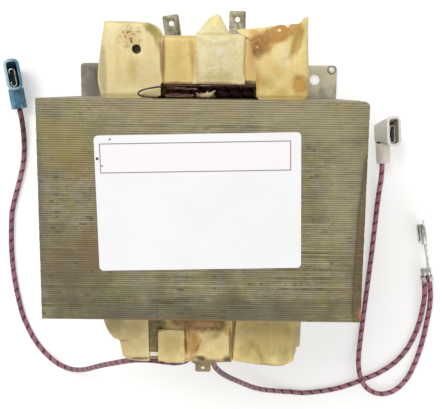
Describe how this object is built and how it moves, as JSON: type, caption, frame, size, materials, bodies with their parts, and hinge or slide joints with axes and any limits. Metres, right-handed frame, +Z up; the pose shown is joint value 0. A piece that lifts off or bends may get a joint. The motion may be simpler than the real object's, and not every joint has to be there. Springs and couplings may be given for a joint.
{
  "type": "microwave oven transformer",
  "caption": "Laminated welded-core transformer on an eared base plate, with paper-lined coils, blade tabs and braided heater leads that end in receptacles.",
  "frame": {"origin": "centre of the base plate's underside, between the four mounting holes", "axes": "+X across the core's two windows, +Y through the lamination stack towards the primary tabs, +Z up from the base plate to the label"},
  "size_m": [0.1924, 0.1706, 0.0891],
  "materials": {
    "plate_steel": "dull zinc-grey sheet steel, varnish stains at the ears",
    "varnished_iron": "olive-khaki varnish over stacked sheet edges, with rust and yellow runs",
    "weld_bead": "grey weld bead, heat stained",
    "enamelled_wire": "copper-brown enamelled wire, satin",
    "gold_paper": "golden insulating paper, varnish soaked",
    "window_paper": "cream insulating paper, creased, with brown glue stains",
    "crepe_tape": "cream crepe tape, creased, brown varnish at its edges",
    "braided_sleeve": "pink braided glass sleeve with dark tracer flecks",
    "tinned_metal": "tinned sheet metal, satin",
    "label_paper": "blank white sticker, satin",
    "blue_nylon": "translucent blue nylon",
    "white_nylon": "translucent natural nylon"
  },
  "bodies": {
    "root": {"base_plate": "plate_steel", "core_e_stack": "varnished_iron", "core_i_stack": "varnished_iron", "joint_weld_left": "weld_bead", "joint_weld_right": "weld_bead", "base_weld_left": "weld_bead", "base_weld_right": "weld_bead", "primary_coil": "enamelled_wire", "secondary_coil": "gold_paper", "heater_winding": "braided_sleeve", "primary_former": "window_paper", "secondary_former": "window_paper", "shunt_left": "varnished_iron", "shunt_right": "varnished_iron", "primary_liner_left": "window_paper", "primary_liner_right": "window_paper", "secondary_liner_left": "window_paper", "secondary_liner_right": "window_paper", "secondary_wrap_back": "gold_paper", "secondary_wrap_front": "gold_paper", "primary_tape_back": "crepe_tape", "primary_tape_front": "crepe_tape", "secondary_tape_back": "crepe_tape", "secondary_tape_front": "crepe_tape", "primary_tab_left": "tinned_metal", "primary_tab_right": "tinned_metal", "hv_tab": "tinned_metal", "ground_wire": "enamelled_wire", "label": "label_paper", "lead_left": "braided_sleeve", "lead_right": "braided_sleeve", "lead_jumper": "braided_sleeve", "blue_sleeve": "blue_nylon", "blue_receptacle": "tinned_metal", "white_sleeve": "white_nylon", "white_receptacle": "tinned_metal", "bare_terminal": "tinned_metal"}
  },
  "joints": []
}
